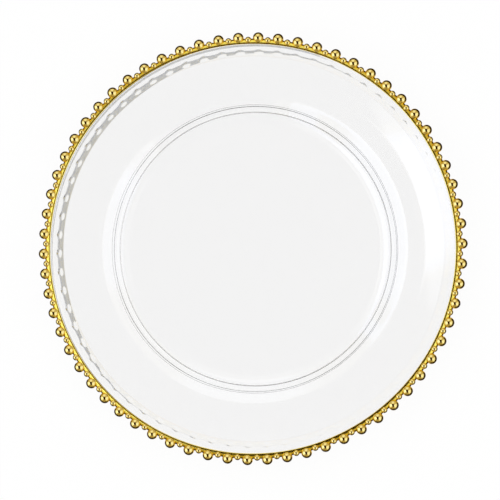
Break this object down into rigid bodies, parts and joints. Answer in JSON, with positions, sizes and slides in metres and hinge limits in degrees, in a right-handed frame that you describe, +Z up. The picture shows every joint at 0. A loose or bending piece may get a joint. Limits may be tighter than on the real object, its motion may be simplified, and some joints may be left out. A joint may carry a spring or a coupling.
{
  "type": "glass charger plate",
  "caption": "Round clear glass charger plate with a flat well, a wide gently rising flange, a thicker scalloped border and a gilt band round its edge that carries alternating large and small beads.",
  "frame": {"origin": "centre of the plate on the surface that it stands on, at the bottom of the foot ring", "axes": "+Z up along the plate's axis, +Y towards the top of the picture and +X to its right"},
  "size_m": [0.33, 0.3298, 0.0221],
  "materials": {
    "clear_glass": "fire-polished clear pressed glass",
    "gilt_band": "polished yellow gilt",
    "gilt_beads": "polished yellow gilt"
  },
  "bodies": {
    "root": {"glass_plate": "clear_glass", "rim_band": "gilt_band", "large_beads": "gilt_beads", "small_beads": "gilt_beads"}
  },
  "joints": []
}
